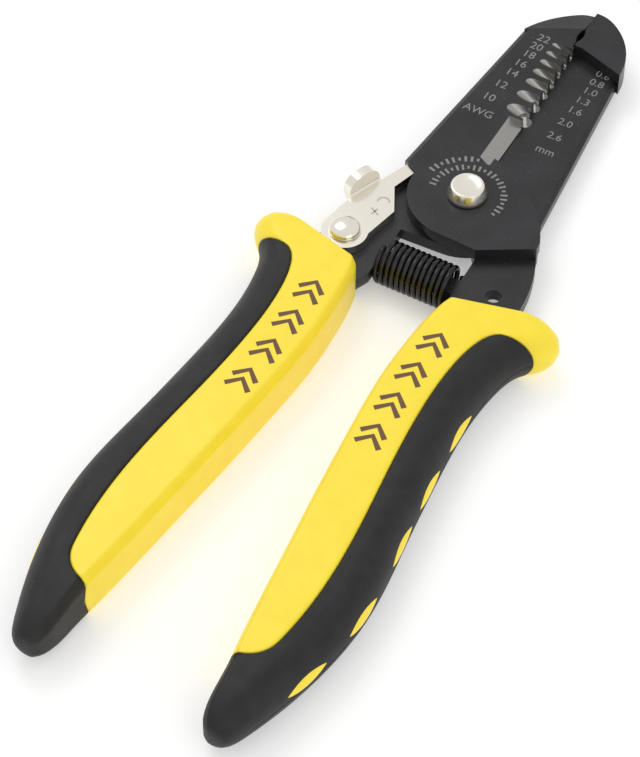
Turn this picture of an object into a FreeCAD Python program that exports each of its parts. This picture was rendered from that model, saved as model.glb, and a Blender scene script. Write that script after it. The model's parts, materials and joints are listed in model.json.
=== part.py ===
import FreeCAD, Part
import math
import os

# Wire stripper: two stepped steel halves on one pivot, a lock lever, a return spring
# and two moulded handles. Millimetres, +Z up. The tool lies flat, closed and locked.
# It is drawn about the pivot axis, nose towards +Y, blade gap on X = 0, and moved at
# the end so that the origin is the middle of its footprint, at its lowest point.
# "Front" is the upper layer: the front half carries the left blade and right handle.

V = FreeCAD.Vector
Z_AXIS = V(0, 0, 1)

# Steel halves
plate_t = 2.5              # thickness of each half
plate_gap = 0.1            # between the sliding faces of the two halves
disc_r = 11.0              # rim of each half round the pivot
disc_clear = 0.4           # stepped arm to the other half's rim
nose_y = 54.0              # pivot to the tip of the nose
nose_root_y = 44.1         # lower end of the thick nose
nose_gap = 0.1             # half the gap between the gripping faces when closed
nose_corner = (10.2, 43.4)     # where the blade's outer edge turns into the nose
nose_flare = 0.6           # raised nose of the back half past the blade's edge
shoulder_in = (disc_r - 0.1, 0.5)
shoulder_out = (disc_r + 3.0, 2.3)
wing_mid = (disc_r - 2.0, 6.1)         # rim between the blades and the arm
wing_out = (disc_r + 5.8, -4.0)
step_in = (disc_r - 3.5, -disc_r - 0.3)    # line along which an arm steps down to the back layer
step_out = (disc_r + 6.0, -5.7)
edge_overlap = 0.3         # each cutting edge past the middle when closed
throat_y = disc_r - 0.6    # lower end of the cutting edges
blade_chamfer = 0.9
land = 0.2                 # thickness left at a ground cutting edge
cutter_bevel = 2.6         # width of the ground bevel of the wire cutter
cutter_top_y = 21.5
facet_slope = 0.26         # fall of the front nose's slanting facet
relief = (47.0, 2.0, 0.6)  # opening between the nose faces: middle, half length, half width

# Stripping notches: distance from the pivot and hole diameter
notches = [(23.6, 2.6), (27.7, 2.0), (31.4, 1.6), (34.4, 1.3), (37.3, 1.0), (39.9, 0.8), (42.4, 0.6)]
groove_slope = 32.0        # degrees, ground grooves that lead into the notches
groove_extra = 0.25        # groove radius more than the notch radius

# Arms and tangs
arm_seat_x = 7.6           # inner edge of an arm, where the spring bears
arm_outer_x = 19.9
tang_len = 59.5            # inside the handle
arm_hole = (14.4, -17.4)
arm_hole_r = 1.45
peg_len = 3.2
peg_w = 3.6
spring_y = -disc_r - 7.7

# Pivot
pivot_r = 3.0
running_clear = 0.04       # radial, shaft in a bore that turns
head_clear = 0.1           # under a head that a moving piece turns beneath
pivot_head_r = 3.75
pivot_head_top_r = 2.85
pivot_head_h = 2.4
nut_r = 4.6
nut_h = 1.8

# Lock lever
lever_t = 1.9
lever_pivot = (-15.45, -18.0)
lever_end_r = 4.3
lever_tip_clear = 0.12     # tip to the shoulder that it props
lever_tip_w = 2.5
tab_w = 7.0
tab_h = 2.7
tab_bend_r = 0.5           # inside the bend
rivet_r = 1.6
rivet_head_r = 2.9
rivet_head_h = 1.7
rivet_tail_r = 2.4
rivet_tail_h = 0.9

# Return spring
wire_d = 1.0
spring_od = 8.6
coil_gap = 0.1             # between neighbouring turns
floor_clear = 0.1          # under the coil
spring_clear = 0.1         # each end to the arm

# Handles
handle_t = 10.8
handle_len = 96.0
handle_front_y = -25.5     # inner front corner
drawn_front_y = -25.5      # the plan curves below are drawn with these two values
drawn_len = 96.0           # and stretched to handle_front_y and handle_len
loft_extra = 0.04          # trimmed off the lofted handle, to leave flat faces
bevel_w = 1.0              # bevel along the inner wall, across
bevel_h = 1.6              # and down
grip_wall = 2.4            # soft grip over the hard core
window_len = 9.4
window_h = 2.9
window_up = 1.0            # middle of the windows over the handle's middle
windows_y = [-48.4, -61.5, -74.0, -89.5, -104.5]

# Stations of the right handle: inner wall point, outermost point, thickness share
stations = [
    ((9.0, -25.5), (26.8, -21.0), 1.0), ((8.7, -26.2), (29.2, -21.5), 1.0),
    ((8.4, -27.0), (30.3, -23.2), 1.0), ((8.2, -28.0), (30.1, -25.3), 1.0),
    ((7.9, -29.6), (28.1, -27.6), 1.0), ((7.6, -31.6), (26.3, -30.0), 1.0),
    ((7.2, -36.0), (24.7, -35.2), 1.0), ((6.9, -44.5), (23.9, -44.5), 1.0),
    ((7.7, -57.0), (24.7, -57.5), 1.0), ((9.2, -72.0), (26.4, -72.5), 1.0),
    ((10.9, -86.5), (27.9, -87.0), 1.0), ((12.4, -99.0), (26.9, -99.5), 1.0),
    ((13.2, -105.0), (25.5, -106.0), 0.995), ((13.9, -110.0), (23.9, -111.5), 0.96),
    ((14.2, -114.5), (22.4, -115.8), 0.88), ((14.6, -117.8), (21.2, -118.8), 0.74),
    ((15.4, -119.9), (20.1, -120.4), 0.56), ((16.4, -120.9), (19.0, -121.1), 0.42),
]
# Plan line where the soft grip begins, from the outer side at the guard to the inner wall
grip_line = [(25.4, -28.9), (21.4, -28.4), (18.7, -31.2), (17.3, -38.0), (17.0, -49.0), (18.1, -62.5),
             (19.9, -78.0), (20.5, -90.0), (19.6, -101.5), (16.9, -106.6), (11.4, -107.9)]

# Levels
back_z = -plate_t
front_z = plate_gap
top_z = plate_gap + plate_t
mid_z = plate_gap / 2
arm_mid_z = -plate_t / 2
handle_low_z = mid_z - handle_t / 2
handle_high_z = mid_z + handle_t / 2
spring_z = max(arm_mid_z, handle_low_z + floor_clear + spring_od / 2)
tang_end_y = handle_front_y - tang_len


def outline(start, *runs):
    """Closed plan outline. One point is a line to it, two are an arc, more are a smooth curve."""
    edges = []
    here = start
    for run in runs:
        points = [V(x, y, 0) for x, y in [here] + list(run)]
        if len(run) == 1:
            edges.append(Part.LineSegment(*points).toShape())
        elif len(run) == 2:
            edges.append(Part.Arc(*points).toShape())
        else:
            curve = Part.BSplineCurve()
            curve.interpolate(points)
            edges.append(curve.toShape())
        here = run[-1]
    if math.dist(here, start) > 1e-6:
        edges.append(Part.LineSegment(V(*here, 0), V(*start, 0)).toShape())
    return Part.Wire(edges)


def prism(wire, low, high):
    """Upright solid on a plan outline."""
    face = Part.Face(wire)
    face.translate(V(0, 0, low))
    return face.extrude(V(0, 0, high - low))


def disc(radius, low, high, centre=(0, 0)):
    """Upright cylinder."""
    return Part.makeCylinder(radius, high - low, V(centre[0], centre[1], low))


def turned(points, centre=(0, 0)):
    """Solid of revolution about an upright axis, from (radius, z) points."""
    wire = Part.makePolygon([V(r, 0, z) for r, z in points + points[:1]])
    solid = Part.Face(wire).revolve(V(0, 0, 0), Z_AXIS, 360)
    solid.translate(V(centre[0], centre[1], 0))
    return solid


def fused(first, *others):
    """One solid of touching or overlapping pieces, without seams."""
    return first.fuse(list(others)).removeSplitter()


def mirrored(shape):
    """The same piece on the other side of the tool."""
    return shape.mirror(V(0, 0, 0), V(1, 0, 0))


def flipped(shape):
    """The same cut on the other half: half a turn about the Y axis between the plates."""
    copy = shape.copy()
    copy.rotate(V(0, 0, mid_z), V(0, 1, 0), 180)
    return copy


def left(point):
    """A plan point mirrored to the left side."""
    return (-point[0], point[1])


# The functions below draw a half with its blade on the left and its arm on the right.

def nose_runs(flare=0):
    """Outer edge of the nose, from the blade's corner to the gap in the middle."""
    flank = (-7.4 - 1.5 * flare, nose_y - 4.9)
    crown = (-3.6 - 0.8 * flare, nose_y - 1.0)
    tip = (-1.9, nose_y - 0.12)
    return [[flank, crown], [tip, (-nose_gap, nose_y)]]


def blade_and_rim(low, high):
    """Layer with the blade, the rim round the pivot and the wing over the arm."""
    rim_low = (-1.0, -math.sqrt(disc_r**2 - 1))
    rim_mid = (-disc_r * math.sin(math.radians(49)), -disc_r * math.cos(math.radians(49)))
    plan = outline(left(shoulder_in), [left(shoulder_out)], [left(nose_corner)], *nose_runs(),
                   [(-nose_gap, nose_root_y - 0.6)], [(edge_overlap, nose_root_y - 0.6)],
                   [(edge_overlap, throat_y)], [wing_mid, wing_out], [step_out], [step_in],
                   [rim_low], [rim_mid, left(shoulder_in)])
    return prism(plan, low, high)


def thick_nose(flare=0):
    """Nose through both layers, above a slanting step."""
    root_out = (-nose_corner[0] - 0.25 - flare, nose_corner[1] - 2.4)
    corner = (-nose_corner[0] - flare, nose_corner[1])
    plan = outline(root_out, [corner], *nose_runs(flare),
                   [(-nose_gap, nose_root_y)], [(-1.7, nose_root_y)])
    return prism(plan, back_z, top_z)


def arm(low, high):
    """Arm in the back layer, its tang, and the peg inside the spring's end."""
    seat_low_y = spring_y - spring_od / 2 - 0.4
    seat_high_y = spring_y + spring_od / 2 + 0.4
    tang_y = handle_front_y - 4.5
    plan = outline((wing_out[0] - 0.05, wing_out[1] - 0.45), [(10.9, -2.9)], [(6.0, -9.6)], [step_in],
                   [(arm_seat_x, seat_high_y)], [(arm_seat_x, seat_low_y)],
                   [(10.3, tang_y)], [(10.3, tang_y - 20)], [(13.0, tang_end_y)],
                   [(17.0, tang_end_y)], [(14.5, tang_y - 20)], [(15.6, tang_y)],
                   [(arm_outer_x - 0.4, -24.5)], [(arm_outer_x, -17.9)], [(arm_outer_x - 1.0, -10.9), step_out])
    peg = Part.makeBox(peg_len + 1, peg_w, high - low,
                       V(arm_seat_x - peg_len, spring_y - peg_w / 2, low))
    peg = peg.makeChamfer(0.6, [e for e in peg.Edges if abs(e.CenterOfMass.x - arm_seat_x + peg_len) < 1e-6
                                and abs(e.CenterOfMass.z - (low + high) / 2) < 1e-6])
    return fused(prism(plan, low, high), peg)


def step_block():
    """Full thickness where the wing and the arm lie over each other."""
    return blade_and_rim(back_z, top_z).common(arm(back_z, top_z))


def ground_cuts():
    """Cuts of the left blade: wire cutter bevel, notches and their grooves."""
    right_x = edge_overlap + 0.01
    low_y = throat_y - 2
    back_edge = V(edge_overlap - cutter_bevel, low_y, top_z)
    edge = V(right_x, low_y, front_z + land)
    bevel = Part.makePolygon([back_edge, edge, V(right_x, low_y, top_z + 0.01), back_edge])
    cuts = [Part.Face(bevel).extrude(V(0, cutter_top_y - low_y, 0))]
    for y, diameter in notches:
        radius = diameter / 2 + groove_extra
        reach = 2.5 * plate_t + 2
        floor = Part.makeCylinder(radius, reach + 1.5, V(1.5, y, radius), V(-1, 0, 0))
        trench = Part.makeBox(reach + 1.5, 2 * radius, 2 * plate_t, V(-reach, y - radius, radius))
        groove = floor.fuse(trench)
        groove.rotate(V(0, 0, 0), V(0, 1, 0), groove_slope)
        groove.translate(V(0, 0, front_z + land / 2))
        cuts.append(groove)
    return cuts


def notch_holes():
    """Round holes that both blades share when closed."""
    return [disc(diameter / 2, back_z - 1, top_z + 1, (0, y)) for y, diameter in notches]


def nose_relief():
    """Lens-shaped opening between the gripping faces."""
    middle, half_len, half_w = relief
    plan = outline((0, middle - half_len), [(half_w, middle), (0, middle + half_len)],
                   [(-half_w, middle), (0, middle - half_len)])
    return prism(plan, back_z - 1, top_z + 1)


def edge_chamfer():
    """Wedge along the left blade's outer edge, on the front face."""
    low, high = left(shoulder_out), left(nose_corner)
    along = V(high[0] - low[0], high[1] - low[1], 0)
    inward = V(along.y, -along.x, 0).normalize() * blade_chamfer
    start = V(low[0], low[1], top_z) - along * 0.02
    outside = start - inward * 0.5
    drop = V(0, 0, blade_chamfer * 0.9)
    wedge = Part.makePolygon([start + inward, outside + V(0, 0, 0.2), outside - drop, start + inward])
    return Part.Face(wedge).extrude(along * 1.02)


def nose_facet():
    """Wedge over the front nose, which slants down from a ridge across it."""
    start = V(-nose_corner[0] - 2, nose_corner[1] - 0.8, top_z)
    ridge = V(nose_corner[0] + 2, (nose_y - nose_corner[1]) * 0.62, 0)
    outward = V(-ridge.y, ridge.x, 0).normalize() * (nose_y - nose_corner[1])
    low = start + outward - V(0, 0, outward.Length * facet_slope)
    wedge = Part.makePolygon([start, low, start + outward + V(0, 0, 1), start])
    return Part.Face(wedge).extrude(ridge * 1.6)


def front_jaw():
    """Front half: blade and rim in the front layer, arm in the back layer."""
    low_arm = fused(arm(back_z, 0), step_block()).cut(disc(disc_r + disc_clear, back_z - 1, front_z))
    shape = fused(blade_and_rim(front_z, top_z), low_arm, thick_nose())
    shape = shape.cut(ground_cuts() + notch_holes() + [nose_relief(), edge_chamfer(), nose_facet()])
    shape = shape.cut(disc(pivot_r + running_clear, back_z - 1, top_z + 1))
    return shape.cut(disc(arm_hole_r, back_z - 1, top_z + 1, arm_hole))


def back_jaw():
    """Back half: all in the back layer, with the nose raised to the front face."""
    plate = fused(blade_and_rim(back_z, 0), arm(back_z, 0), thick_nose(nose_flare))
    chamfer = edge_chamfer()
    chamfer.translate(V(0, 0, -top_z))
    shape = mirrored(plate.cut([chamfer, nose_relief()]))
    shape = shape.cut([flipped(cut) for cut in ground_cuts()] + notch_holes())
    shape = shape.cut(disc(pivot_r, back_z - 1, top_z + 1))
    return shape.cut(disc(rivet_r, back_z - 1, top_z + 1, lever_pivot))


def pivot_bolt():
    """Shank through both halves with a raised, flat-topped head."""
    seat = top_z + head_clear
    crown = seat + pivot_head_h
    end = back_z - nut_h - 0.5
    return turned([(0, end), (pivot_r - 0.4, end), (pivot_r, end + 0.4), (pivot_r, seat), (pivot_head_r, seat),
                   (pivot_head_r, seat + 0.5), (pivot_head_r - 0.2, seat + 1.2),
                   (pivot_head_top_r + 0.15, crown - 0.2), (pivot_head_top_r, crown), (0, crown)])


def pivot_nut():
    """Flat round nut on the back face, with two key slots across it."""
    nut = disc(nut_r, back_z - nut_h, back_z).cut(disc(pivot_r, back_z - nut_h - 1, back_z + 1))
    nut = nut.makeChamfer(0.4, [e for e in nut.Edges if abs(e.CenterOfMass.z - back_z + nut_h) < 1e-6
                                and abs(e.BoundBox.XLength - 2 * nut_r) < 1e-3])
    slot = Part.makeBox(2 * nut_r + 2, 1.2, 0.8, V(-nut_r - 1, -0.6, back_z - nut_h))
    return nut.cut(slot.cut(disc(pivot_r + 0.2, back_z - nut_h - 1, back_z)))


def lever_heel():
    """Corner of the lever's outer edge, where the thumb tab's side begins."""
    return (lever_pivot[0] - lever_end_r + 1.15, lever_pivot[1] + 6.4)


def lever_plan():
    """Lever outline: slanting tip, waist, belly and round end."""
    inner, outer = V(*left(shoulder_in), 0), V(*left(shoulder_out), 0)
    along = (outer - inner).normalize()
    away = V(-along.y, along.x, 0)
    tip_right = inner + along * 0.2 + away * lever_tip_clear
    tip_left = tip_right + along * lever_tip_w
    cx, cy = lever_pivot
    waist = (tip_right.x - 1.5, tip_right.y - 4.8)
    belly = (cx + lever_end_r + 1.35, cy + 8.3)
    return outline((tip_right.x, tip_right.y), [waist], [belly],
                   [(cx + lever_end_r - 0.2, cy + 1.3)],
                   [(cx, cy - lever_end_r), (cx - lever_end_r + 0.1, cy + 0.9)],
                   [lever_heel()], [(tip_left.x, tip_left.y)])


def lever_tab(low, high):
    """Thumb tab: the sheet bent up along the lever's outer edge, with round corners."""
    bend_z = high + tab_bend_r
    outer_r = tab_bend_r + lever_t
    up = bend_z + tab_h
    turn = math.sin(math.radians(45))
    section = outline((-1.0, low), [(0, low)], [(outer_r * turn, bend_z - outer_r * turn), (outer_r, bend_z)],
                      [(outer_r, up)], [(tab_bend_r, up)], [(tab_bend_r, bend_z)],
                      [(tab_bend_r * turn, bend_z - tab_bend_r * turn), (0, high)], [(-1.0, high)])
    tab = Part.Face(section).extrude(V(0, 0, tab_w))
    corner = tab_w * 0.4
    tab = tab.makeFillet(corner, [e for e in tab.Edges if abs(e.CenterOfMass.y - up) < 1e-6
                                  and abs(e.BoundBox.XLength - lever_t) < 1e-3])
    tab.rotate(V(0, 0, 0), V(1, 0, 0), 90)
    tab.translate(V(0, tab_w / 2, 0))
    return tab


def latch_lever():
    """Lock lever on the left arm."""
    low, high = head_clear, head_clear + lever_t
    tab = lever_tab(low, high)
    start = V(*lever_heel(), 0)
    end = V(*left(shoulder_out), 0) + V(0.7, -0.5, 0)
    along = end - start
    tab.rotate(V(0, 0, 0), Z_AXIS, 180 - math.degrees(math.atan2(along.x, along.y)))
    middle = start + along * 0.33
    tab.translate(middle)
    shape = fused(prism(lever_plan(), low, high), tab)
    return shape.cut(disc(rivet_r + running_clear, low - 1, high + 1, lever_pivot))


def latch_rivet():
    """Rivet of the lever: domed head, shank through lever and arm, headed-over tail."""
    seat = head_clear + lever_t + head_clear
    angles = [math.radians(degrees) for degrees in range(0, 90, 15)]
    rise = rivet_head_h - 0.3
    dome = [(rivet_head_r * math.cos(a), seat + 0.3 + rise * math.sin(a)) for a in angles]
    low = back_z - rivet_tail_h
    tail = [(0, low), (rivet_tail_r - 0.5, low), (rivet_tail_r, low + 0.6), (rivet_tail_r, back_z)]
    neck = [(rivet_r, back_z), (rivet_r, seat), (rivet_head_r, seat)]
    return turned(tail + neck + dome + [(0, seat + rivet_head_h)], lever_pivot)


def return_spring():
    """Coil spring between the arms, its axis along X."""
    length = 2 * (arm_seat_x - spring_clear) - wire_d
    radius = (spring_od - wire_d) / 2
    path = Part.makeHelix(wire_d + coil_gap, length, radius)
    section = Part.Wire(Part.makeCircle(wire_d / 2, V(radius, 0, 0), V(0, 1, 0)))
    coil = Part.Wire(path).makePipeShell([section], True, True)
    coil.rotate(V(0, 0, 0), V(0, 1, 0), 90)
    coil.translate(V(-length / 2, spring_y, spring_z))
    return coil


# The handle functions draw the right handle.

def stretched(point):
    """A drawn plan point moved to the handle's real length."""
    return (point[0], handle_front_y + (point[1] - drawn_front_y) * handle_len / drawn_len)


def handle_section(inner, outer, share):
    """Upright section from the inner wall to the full round of the outer side."""
    half = share * (handle_t + loft_extra) / 2
    start = V(*stretched(inner), mid_z)
    across = V(*stretched(outer), mid_z) - start
    width = across.Length
    across.normalize()
    flat = width - min(half, width * 0.8)
    slope = min(bevel_w, flat * 0.6)
    drop = min(bevel_h, half * 0.4)

    def at(u, z):
        return start + across * u + V(0, 0, z)

    corners = [at(flat, -half), at(slope, -half), at(0, drop - half), at(0, half - drop),
               at(slope, half), at(flat, half)]
    edges = [Part.LineSegment(a, b).toShape() for a, b in zip(corners, corners[1:])]
    edges.append(Part.Arc(corners[-1], at(width, 0), corners[0]).toShape())
    return Part.Wire(edges)


def handle_blank():
    """Whole handle before it is divided into core and grip."""
    loft = Part.makeLoft([handle_section(*station) for station in stations], True, False)
    slab = Part.makeBox(100, 200, handle_t, V(-20, handle_front_y - 150, handle_low_z))
    return loft.common(slab)


def core_side():
    """Everything on the inner side of the line where the grip begins."""
    line = [stretched(point) for point in grip_line]
    front_y = line[0][1]
    plan = outline((34.0, front_y - 2.0), [line[0]], line[1:], [(0, line[-1][1])], [(0, front_y + 15.0)],
                   [(34.0, front_y + 15.0)])
    return prism(plan, handle_low_z - 1, handle_high_z + 1)


def core_rib():
    """Hard rib of the core under the grip, inside the outer side by the grip's wall."""
    inset = grip_wall + 0.8
    outer = [stretched((x - inset, y)) for _, (x, y), _ in stations[6:13]]
    inner = [stretched((x + inset, y)) for (x, y), _, _ in reversed(stations[6:13])]
    plan = outline(outer[0], outer[1:], [inner[0]], inner[1:])
    return prism(plan, handle_low_z + grip_wall, handle_high_z - grip_wall)


def window_bosses():
    """Leaf-shaped bosses of the core that show through the grip's outer side."""
    bosses = []
    for drawn_y in windows_y:
        y = stretched((0, drawn_y))[1]
        z = mid_z + window_up
        leaf = [Part.Arc(V(18, y - window_len / 2, z), V(18, y, z + side * window_h / 2),
                         V(18, y + window_len / 2, z)).toShape() for side in (1, -1)]
        bosses.append(Part.Face(Part.Wire(leaf)).extrude(V(20, 0, 0)))
    return bosses


def handle_pieces():
    """Core and grip of the right handle; the core is moulded round the steel tang."""
    blank = handle_blank()
    bosses = [blank.common(boss) for boss in window_bosses()]
    hard = fused(blank.common(core_side()), core_rib(), *bosses)
    return hard.cut(arm(back_z, 0)), blank.cut(hard)


def main():
    """Build every piece, move it to the object's frame and write it."""
    os.makedirs("parts", exist_ok=True)
    front = front_jaw()
    core, grip = handle_pieces()
    pieces = {
        "front_jaw": front,
        "back_jaw": back_jaw(),
        "pivot_bolt": pivot_bolt(),
        "pivot_nut": pivot_nut(),
        "latch_lever": latch_lever(),
        "latch_rivet": latch_rivet(),
        "return_spring": return_spring(),
        "right_handle_core": core,
        "right_handle_grip": grip,
        "left_handle_core": mirrored(core),
        "left_handle_grip": mirrored(grip),
    }
    tail_y = stretched(stations[-1][1])[1]
    shift = V(0, -(nose_y + tail_y) / 2, -handle_low_z)
    print("pivot axis at", [round(c, 4) for c in shift])
    for name, shape in pieces.items():
        shape.translate(shift)
        print(name, len(shape.Solids), shape.isValid(), round(shape.Volume, 1))
        shape.exportStep("parts/" + name + ".step")


main()
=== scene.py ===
import json
import logging
import math
from collections.abc import Callable
from dataclasses import dataclass, field
from enum import Enum

import bmesh
import bpy
import numpy as np
from mathutils import Matrix, Vector


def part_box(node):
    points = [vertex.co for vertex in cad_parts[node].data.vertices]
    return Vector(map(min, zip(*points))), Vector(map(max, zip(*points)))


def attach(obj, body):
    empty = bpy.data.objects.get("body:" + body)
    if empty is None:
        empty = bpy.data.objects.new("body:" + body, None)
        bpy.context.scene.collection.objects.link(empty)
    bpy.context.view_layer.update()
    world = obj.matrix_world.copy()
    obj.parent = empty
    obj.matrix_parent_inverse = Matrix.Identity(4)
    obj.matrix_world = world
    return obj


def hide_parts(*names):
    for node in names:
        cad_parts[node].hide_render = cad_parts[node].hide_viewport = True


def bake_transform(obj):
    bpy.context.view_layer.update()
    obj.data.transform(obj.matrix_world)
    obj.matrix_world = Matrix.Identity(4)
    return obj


# The looks of a hand wire stripper. Metres in the scene; the sizes below are in
# millimetres from the pivot axis, with +Y towards the nose and height 0 on the
# sliding face between the two steel halves.
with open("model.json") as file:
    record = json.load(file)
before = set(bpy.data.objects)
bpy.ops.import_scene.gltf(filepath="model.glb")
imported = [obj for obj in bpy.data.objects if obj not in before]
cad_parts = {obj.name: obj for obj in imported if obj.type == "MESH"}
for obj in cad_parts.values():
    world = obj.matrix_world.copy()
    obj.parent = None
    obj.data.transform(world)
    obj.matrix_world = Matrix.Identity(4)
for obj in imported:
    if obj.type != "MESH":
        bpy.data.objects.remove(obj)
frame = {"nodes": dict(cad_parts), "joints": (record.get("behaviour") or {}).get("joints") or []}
log = logging.getLogger("wire_stripper")
MM = 0.001


class Body(Enum):
    """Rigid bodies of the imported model."""

    BACK = "back_half"
    FRONT = "front_half"
    LATCH = "latch"


class Side(Enum):
    """Sides of the tool, as the factor that mirrors the right side's drawing."""

    RIGHT = 1
    LEFT = -1


# ---------------------------------------------------------------- places and mesh tools

@dataclass
class Places:
    """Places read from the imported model: the joints in metres, the faces in millimetres from the pivot."""

    pivot: Vector = field(init=False)
    lever_pivot: Vector = field(init=False)
    front_face: float = field(init=False)
    stack: float = 5.1  # both steel halves and the gap between them

    def __post_init__(self) -> None:
        """Read the joints' places and the height of the front face."""
        joints = {joint["name"]: joint for joint in frame["joints"]}
        self.pivot = Vector(joints["jaw_open"]["pos_m"])
        self.lever_pivot = Vector(joints["latch_turn"]["pos_m"])
        self.front_face = (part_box("front_jaw")[1][2] - self.pivot.z) / MM

    def put(self, points: np.ndarray) -> np.ndarray:
        """Move points in millimetres from the pivot to metres in the scene."""
        return points * MM + np.array(self.pivot)


def grid_faces(rows: int, columns: int, wrap: bool) -> np.ndarray:
    """Quads between neighbouring rows and columns of a grid of points.

    Args:
        rows: number of rows of points.
        columns: number of points in a row.
        wrap: whether the last column joins the first.

    Returns:
        Integer array with four point numbers a quad.
    """
    row = np.arange(rows - 1)[:, None]
    column = np.arange(columns if wrap else columns - 1)[None, :]
    after = (column + 1) % columns
    corners = [row * columns + column, row * columns + after,
               (row + 1) * columns + after, (row + 1) * columns + column]
    return np.stack(np.broadcast_arrays(*corners), axis=-1).reshape(-1, 4)


def fan_faces(rim: np.ndarray, hub: int) -> np.ndarray:
    """Triangles from a closed rim of point numbers to one hub point, as quads that end in -1."""
    after = np.roll(rim, -1)
    return np.stack([rim, after, np.full_like(rim, hub), np.full_like(rim, -1)], axis=-1)


def signed_volume(points: np.ndarray, faces: np.ndarray) -> float:
    """Volume that faces enclose about the points' middle, negative if they point inwards.

    Each face is cut into two triangles, and each triangle adds the volume of the
    tetrahedron that it makes with the middle.

    Args:
        points: rows of three coordinates.
        faces: rows of four point numbers, the last -1 for a triangle.

    Returns:
        The volume in the cube of the points' unit.
    """
    local = points - points.mean(axis=0)
    last = np.where(faces[:, 3] < 0, faces[:, 2], faces[:, 3])
    corner = [local[faces[:, i]] for i in range(3)] + [local[last]]
    first = np.einsum("ij,ij->i", corner[0], np.cross(corner[1], corner[2]))
    second = np.einsum("ij,ij->i", corner[0], np.cross(corner[2], corner[3]))
    return float((first + second).sum() / 6)


def new_piece(name: str, points: np.ndarray, faces: np.ndarray, body: Body | None) -> bpy.types.Object:
    """Smooth mesh object with its faces outwards, riding on a body.

    Args:
        name: the piece's name.
        points: points in metres, any shape that ends in 3.
        faces: rows of four point numbers, the last -1 for a triangle.
        body: body that it rides on, or None for a piece that rides on no body.

    Returns:
        The new object.
    """
    points = points.reshape(-1, 3)
    if signed_volume(points, faces) < 0:
        faces = np.where(faces[:, 3:] < 0, faces[:, [1, 0, 2, 3]], faces[:, ::-1])
    mesh = bpy.data.meshes.new(name)
    mesh.from_pydata(points.tolist(), [], [face[:3] if face[3] < 0 else face for face in faces.tolist()])
    mesh.update()
    mesh.shade_smooth()
    piece = bpy.data.objects.new(name, mesh)
    bpy.context.scene.collection.objects.link(piece)
    if body:
        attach(piece, body.value)
    return piece


def lathe(name: str, profile: list[tuple[float, float]], centre: Vector, body: Body,
          sides: int = 96) -> bpy.types.Object:
    """Solid of revolution about an upright axis.

    Each (radius, height) point of the profile is carried round a circle in equal
    steps; the first and last points lie on the axis and become single poles.

    Args:
        name: the piece's name.
        profile: profile in millimetres, from the bottom pole to the top pole.
        centre: point of the axis that heights count from, in metres.
        body: body that it rides on.
        sides: steps round the axis.

    Returns:
        The new object.
    """
    line = np.array(profile[1:-1])
    angle = np.linspace(0, 2 * np.pi, sides, endpoint=False)
    ring = np.broadcast_arrays(line[:, :1] * np.cos(angle), line[:, :1] * np.sin(angle), line[:, 1:])
    points = np.stack(ring, axis=-1).reshape(-1, 3)
    poles = np.array([[0, 0, profile[0][1]], [0, 0, profile[-1][1]]])
    rim = np.arange(sides)
    faces = np.concatenate([grid_faces(len(line), sides, True), fan_faces(rim[::-1], len(points)),
                            fan_faces(rim + (len(line) - 1) * sides, len(points) + 1)])
    return new_piece(name, np.concatenate([points, poles]) * MM + np.array(centre), faces, body)


def arc(centre: tuple[float, float], radius: float, start: float, end: float,
        steps: int) -> list[tuple[float, float]]:
    """Profile points on a circular arc, angles in degrees from the radius direction."""
    angles = np.radians(np.linspace(start, end, steps))
    return [(centre[0] + radius * math.cos(a), centre[1] + radius * math.sin(a)) for a in angles]


def smooth_curve(knots: np.ndarray, values: np.ndarray) -> Callable[[np.ndarray], np.ndarray]:
    """Natural cubic curve through values at knots.

    The bends at the knots solve the usual three-band system; between two knots the
    curve is the straight mix of the values plus the cubic mix of the bends.

    Args:
        knots: rising parameter values.
        values: one row of values a knot.

    Returns:
        Function from an array of parameter values to rows of values.
    """
    gap = np.diff(knots)
    inner = np.arange(1, len(knots) - 1)
    bands = np.eye(len(knots))
    bands[inner, inner - 1] = gap[:-1]
    bands[inner, inner] = 2 * (gap[:-1] + gap[1:])
    bands[inner, inner + 1] = gap[1:]
    turn = np.zeros_like(values)
    turn[1:-1] = 6 * np.diff(np.diff(values, axis=0) / gap[:, None], axis=0)
    bend = np.linalg.solve(bands, turn)

    def at(where: np.ndarray) -> np.ndarray:
        """Read the curve.

        Args:
            where: parameter values.

        Returns:
            One row of values a parameter.
        """
        i = np.clip(np.searchsorted(knots, where, side="right") - 1, 0, len(gap) - 1)
        width = gap[i][:, None]
        low = (knots[i + 1] - where)[:, None] / width
        high = 1 - low
        curl = (low**3 - low) * bend[i] + (high**3 - high) * bend[i + 1]
        return low * values[i] + high * values[i + 1] + curl * width**2 / 6

    return at


def rounded_copy(node: str, width: float, body: Body) -> bpy.types.Object:
    """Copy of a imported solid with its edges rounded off, standing for that solid.

    Args:
        node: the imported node.
        width: rounding in millimetres.
        body: body that it rides on.

    Returns:
        The new object.
    """
    work = bmesh.new()
    work.from_mesh(frame["nodes"][node].data)
    bmesh.ops.remove_doubles(work, verts=work.verts, dist=0.002 * MM)
    bmesh.ops.dissolve_limit(work, angle_limit=math.radians(1.0), verts=work.verts, edges=work.edges)
    mesh = bpy.data.meshes.new(node + "_rounded")
    work.to_mesh(mesh)
    work.free()
    mesh.shade_smooth()
    mesh.set_sharp_from_angle(angle=math.radians(18))
    piece = bpy.data.objects.new(node + "_rounded", mesh)
    bpy.context.scene.collection.objects.link(piece)
    bevel = piece.modifiers.new("edge rounding", "BEVEL")
    bevel.width = width * MM
    bevel.segments = 2
    bevel.limit_method = "ANGLE"
    bevel.angle_limit = math.radians(18)
    bevel.use_clamp_overlap = True
    bevel.harden_normals = True
    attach(piece, body.value)
    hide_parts(node)
    return piece


# ---------------------------------------------------------------- shader groups and finishes

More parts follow.
